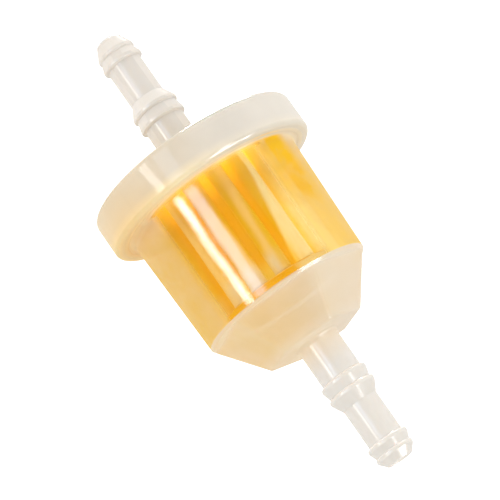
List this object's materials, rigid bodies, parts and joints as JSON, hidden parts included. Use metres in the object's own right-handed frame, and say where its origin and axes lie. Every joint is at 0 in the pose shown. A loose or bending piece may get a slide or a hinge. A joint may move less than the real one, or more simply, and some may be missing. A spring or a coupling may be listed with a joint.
{
  "type": "inline fuel filter",
  "caption": "Disposable inline fuel filter: milky welded housing with stepped hose barbs at both ends round a pleated paper element.",
  "frame": {"origin": "on the flow axis, half way between the two spigot tips", "axes": "+Z along the flow axis towards the inlet tip at the faceted cone, so fuel flows towards -Z; one facet of the cone faces -Y, turned 4.5 degrees towards +X"},
  "size_m": [0.0375, 0.0374, 0.0842],
  "materials": {
    "shell": "natural translucent nylon, satin gloss",
    "paper": "resin-cured filter paper, amber",
    "resin": "cured amber adhesive",
    "end_disc": "moulded, semi-matt",
    "core": "natural moulded plastic"
  },
  "bodies": {
    "root": {"inlet_bowl": "shell", "outlet_cap": "shell", "weld_bead": "shell", "element_paper": "paper", "paper_seam": "resin", "core_tube": "core", "closed_end_disc": "end_disc", "open_end_disc": "end_disc", "closed_end_bond": "resin", "open_end_bond": "resin"}
  },
  "joints": []
}
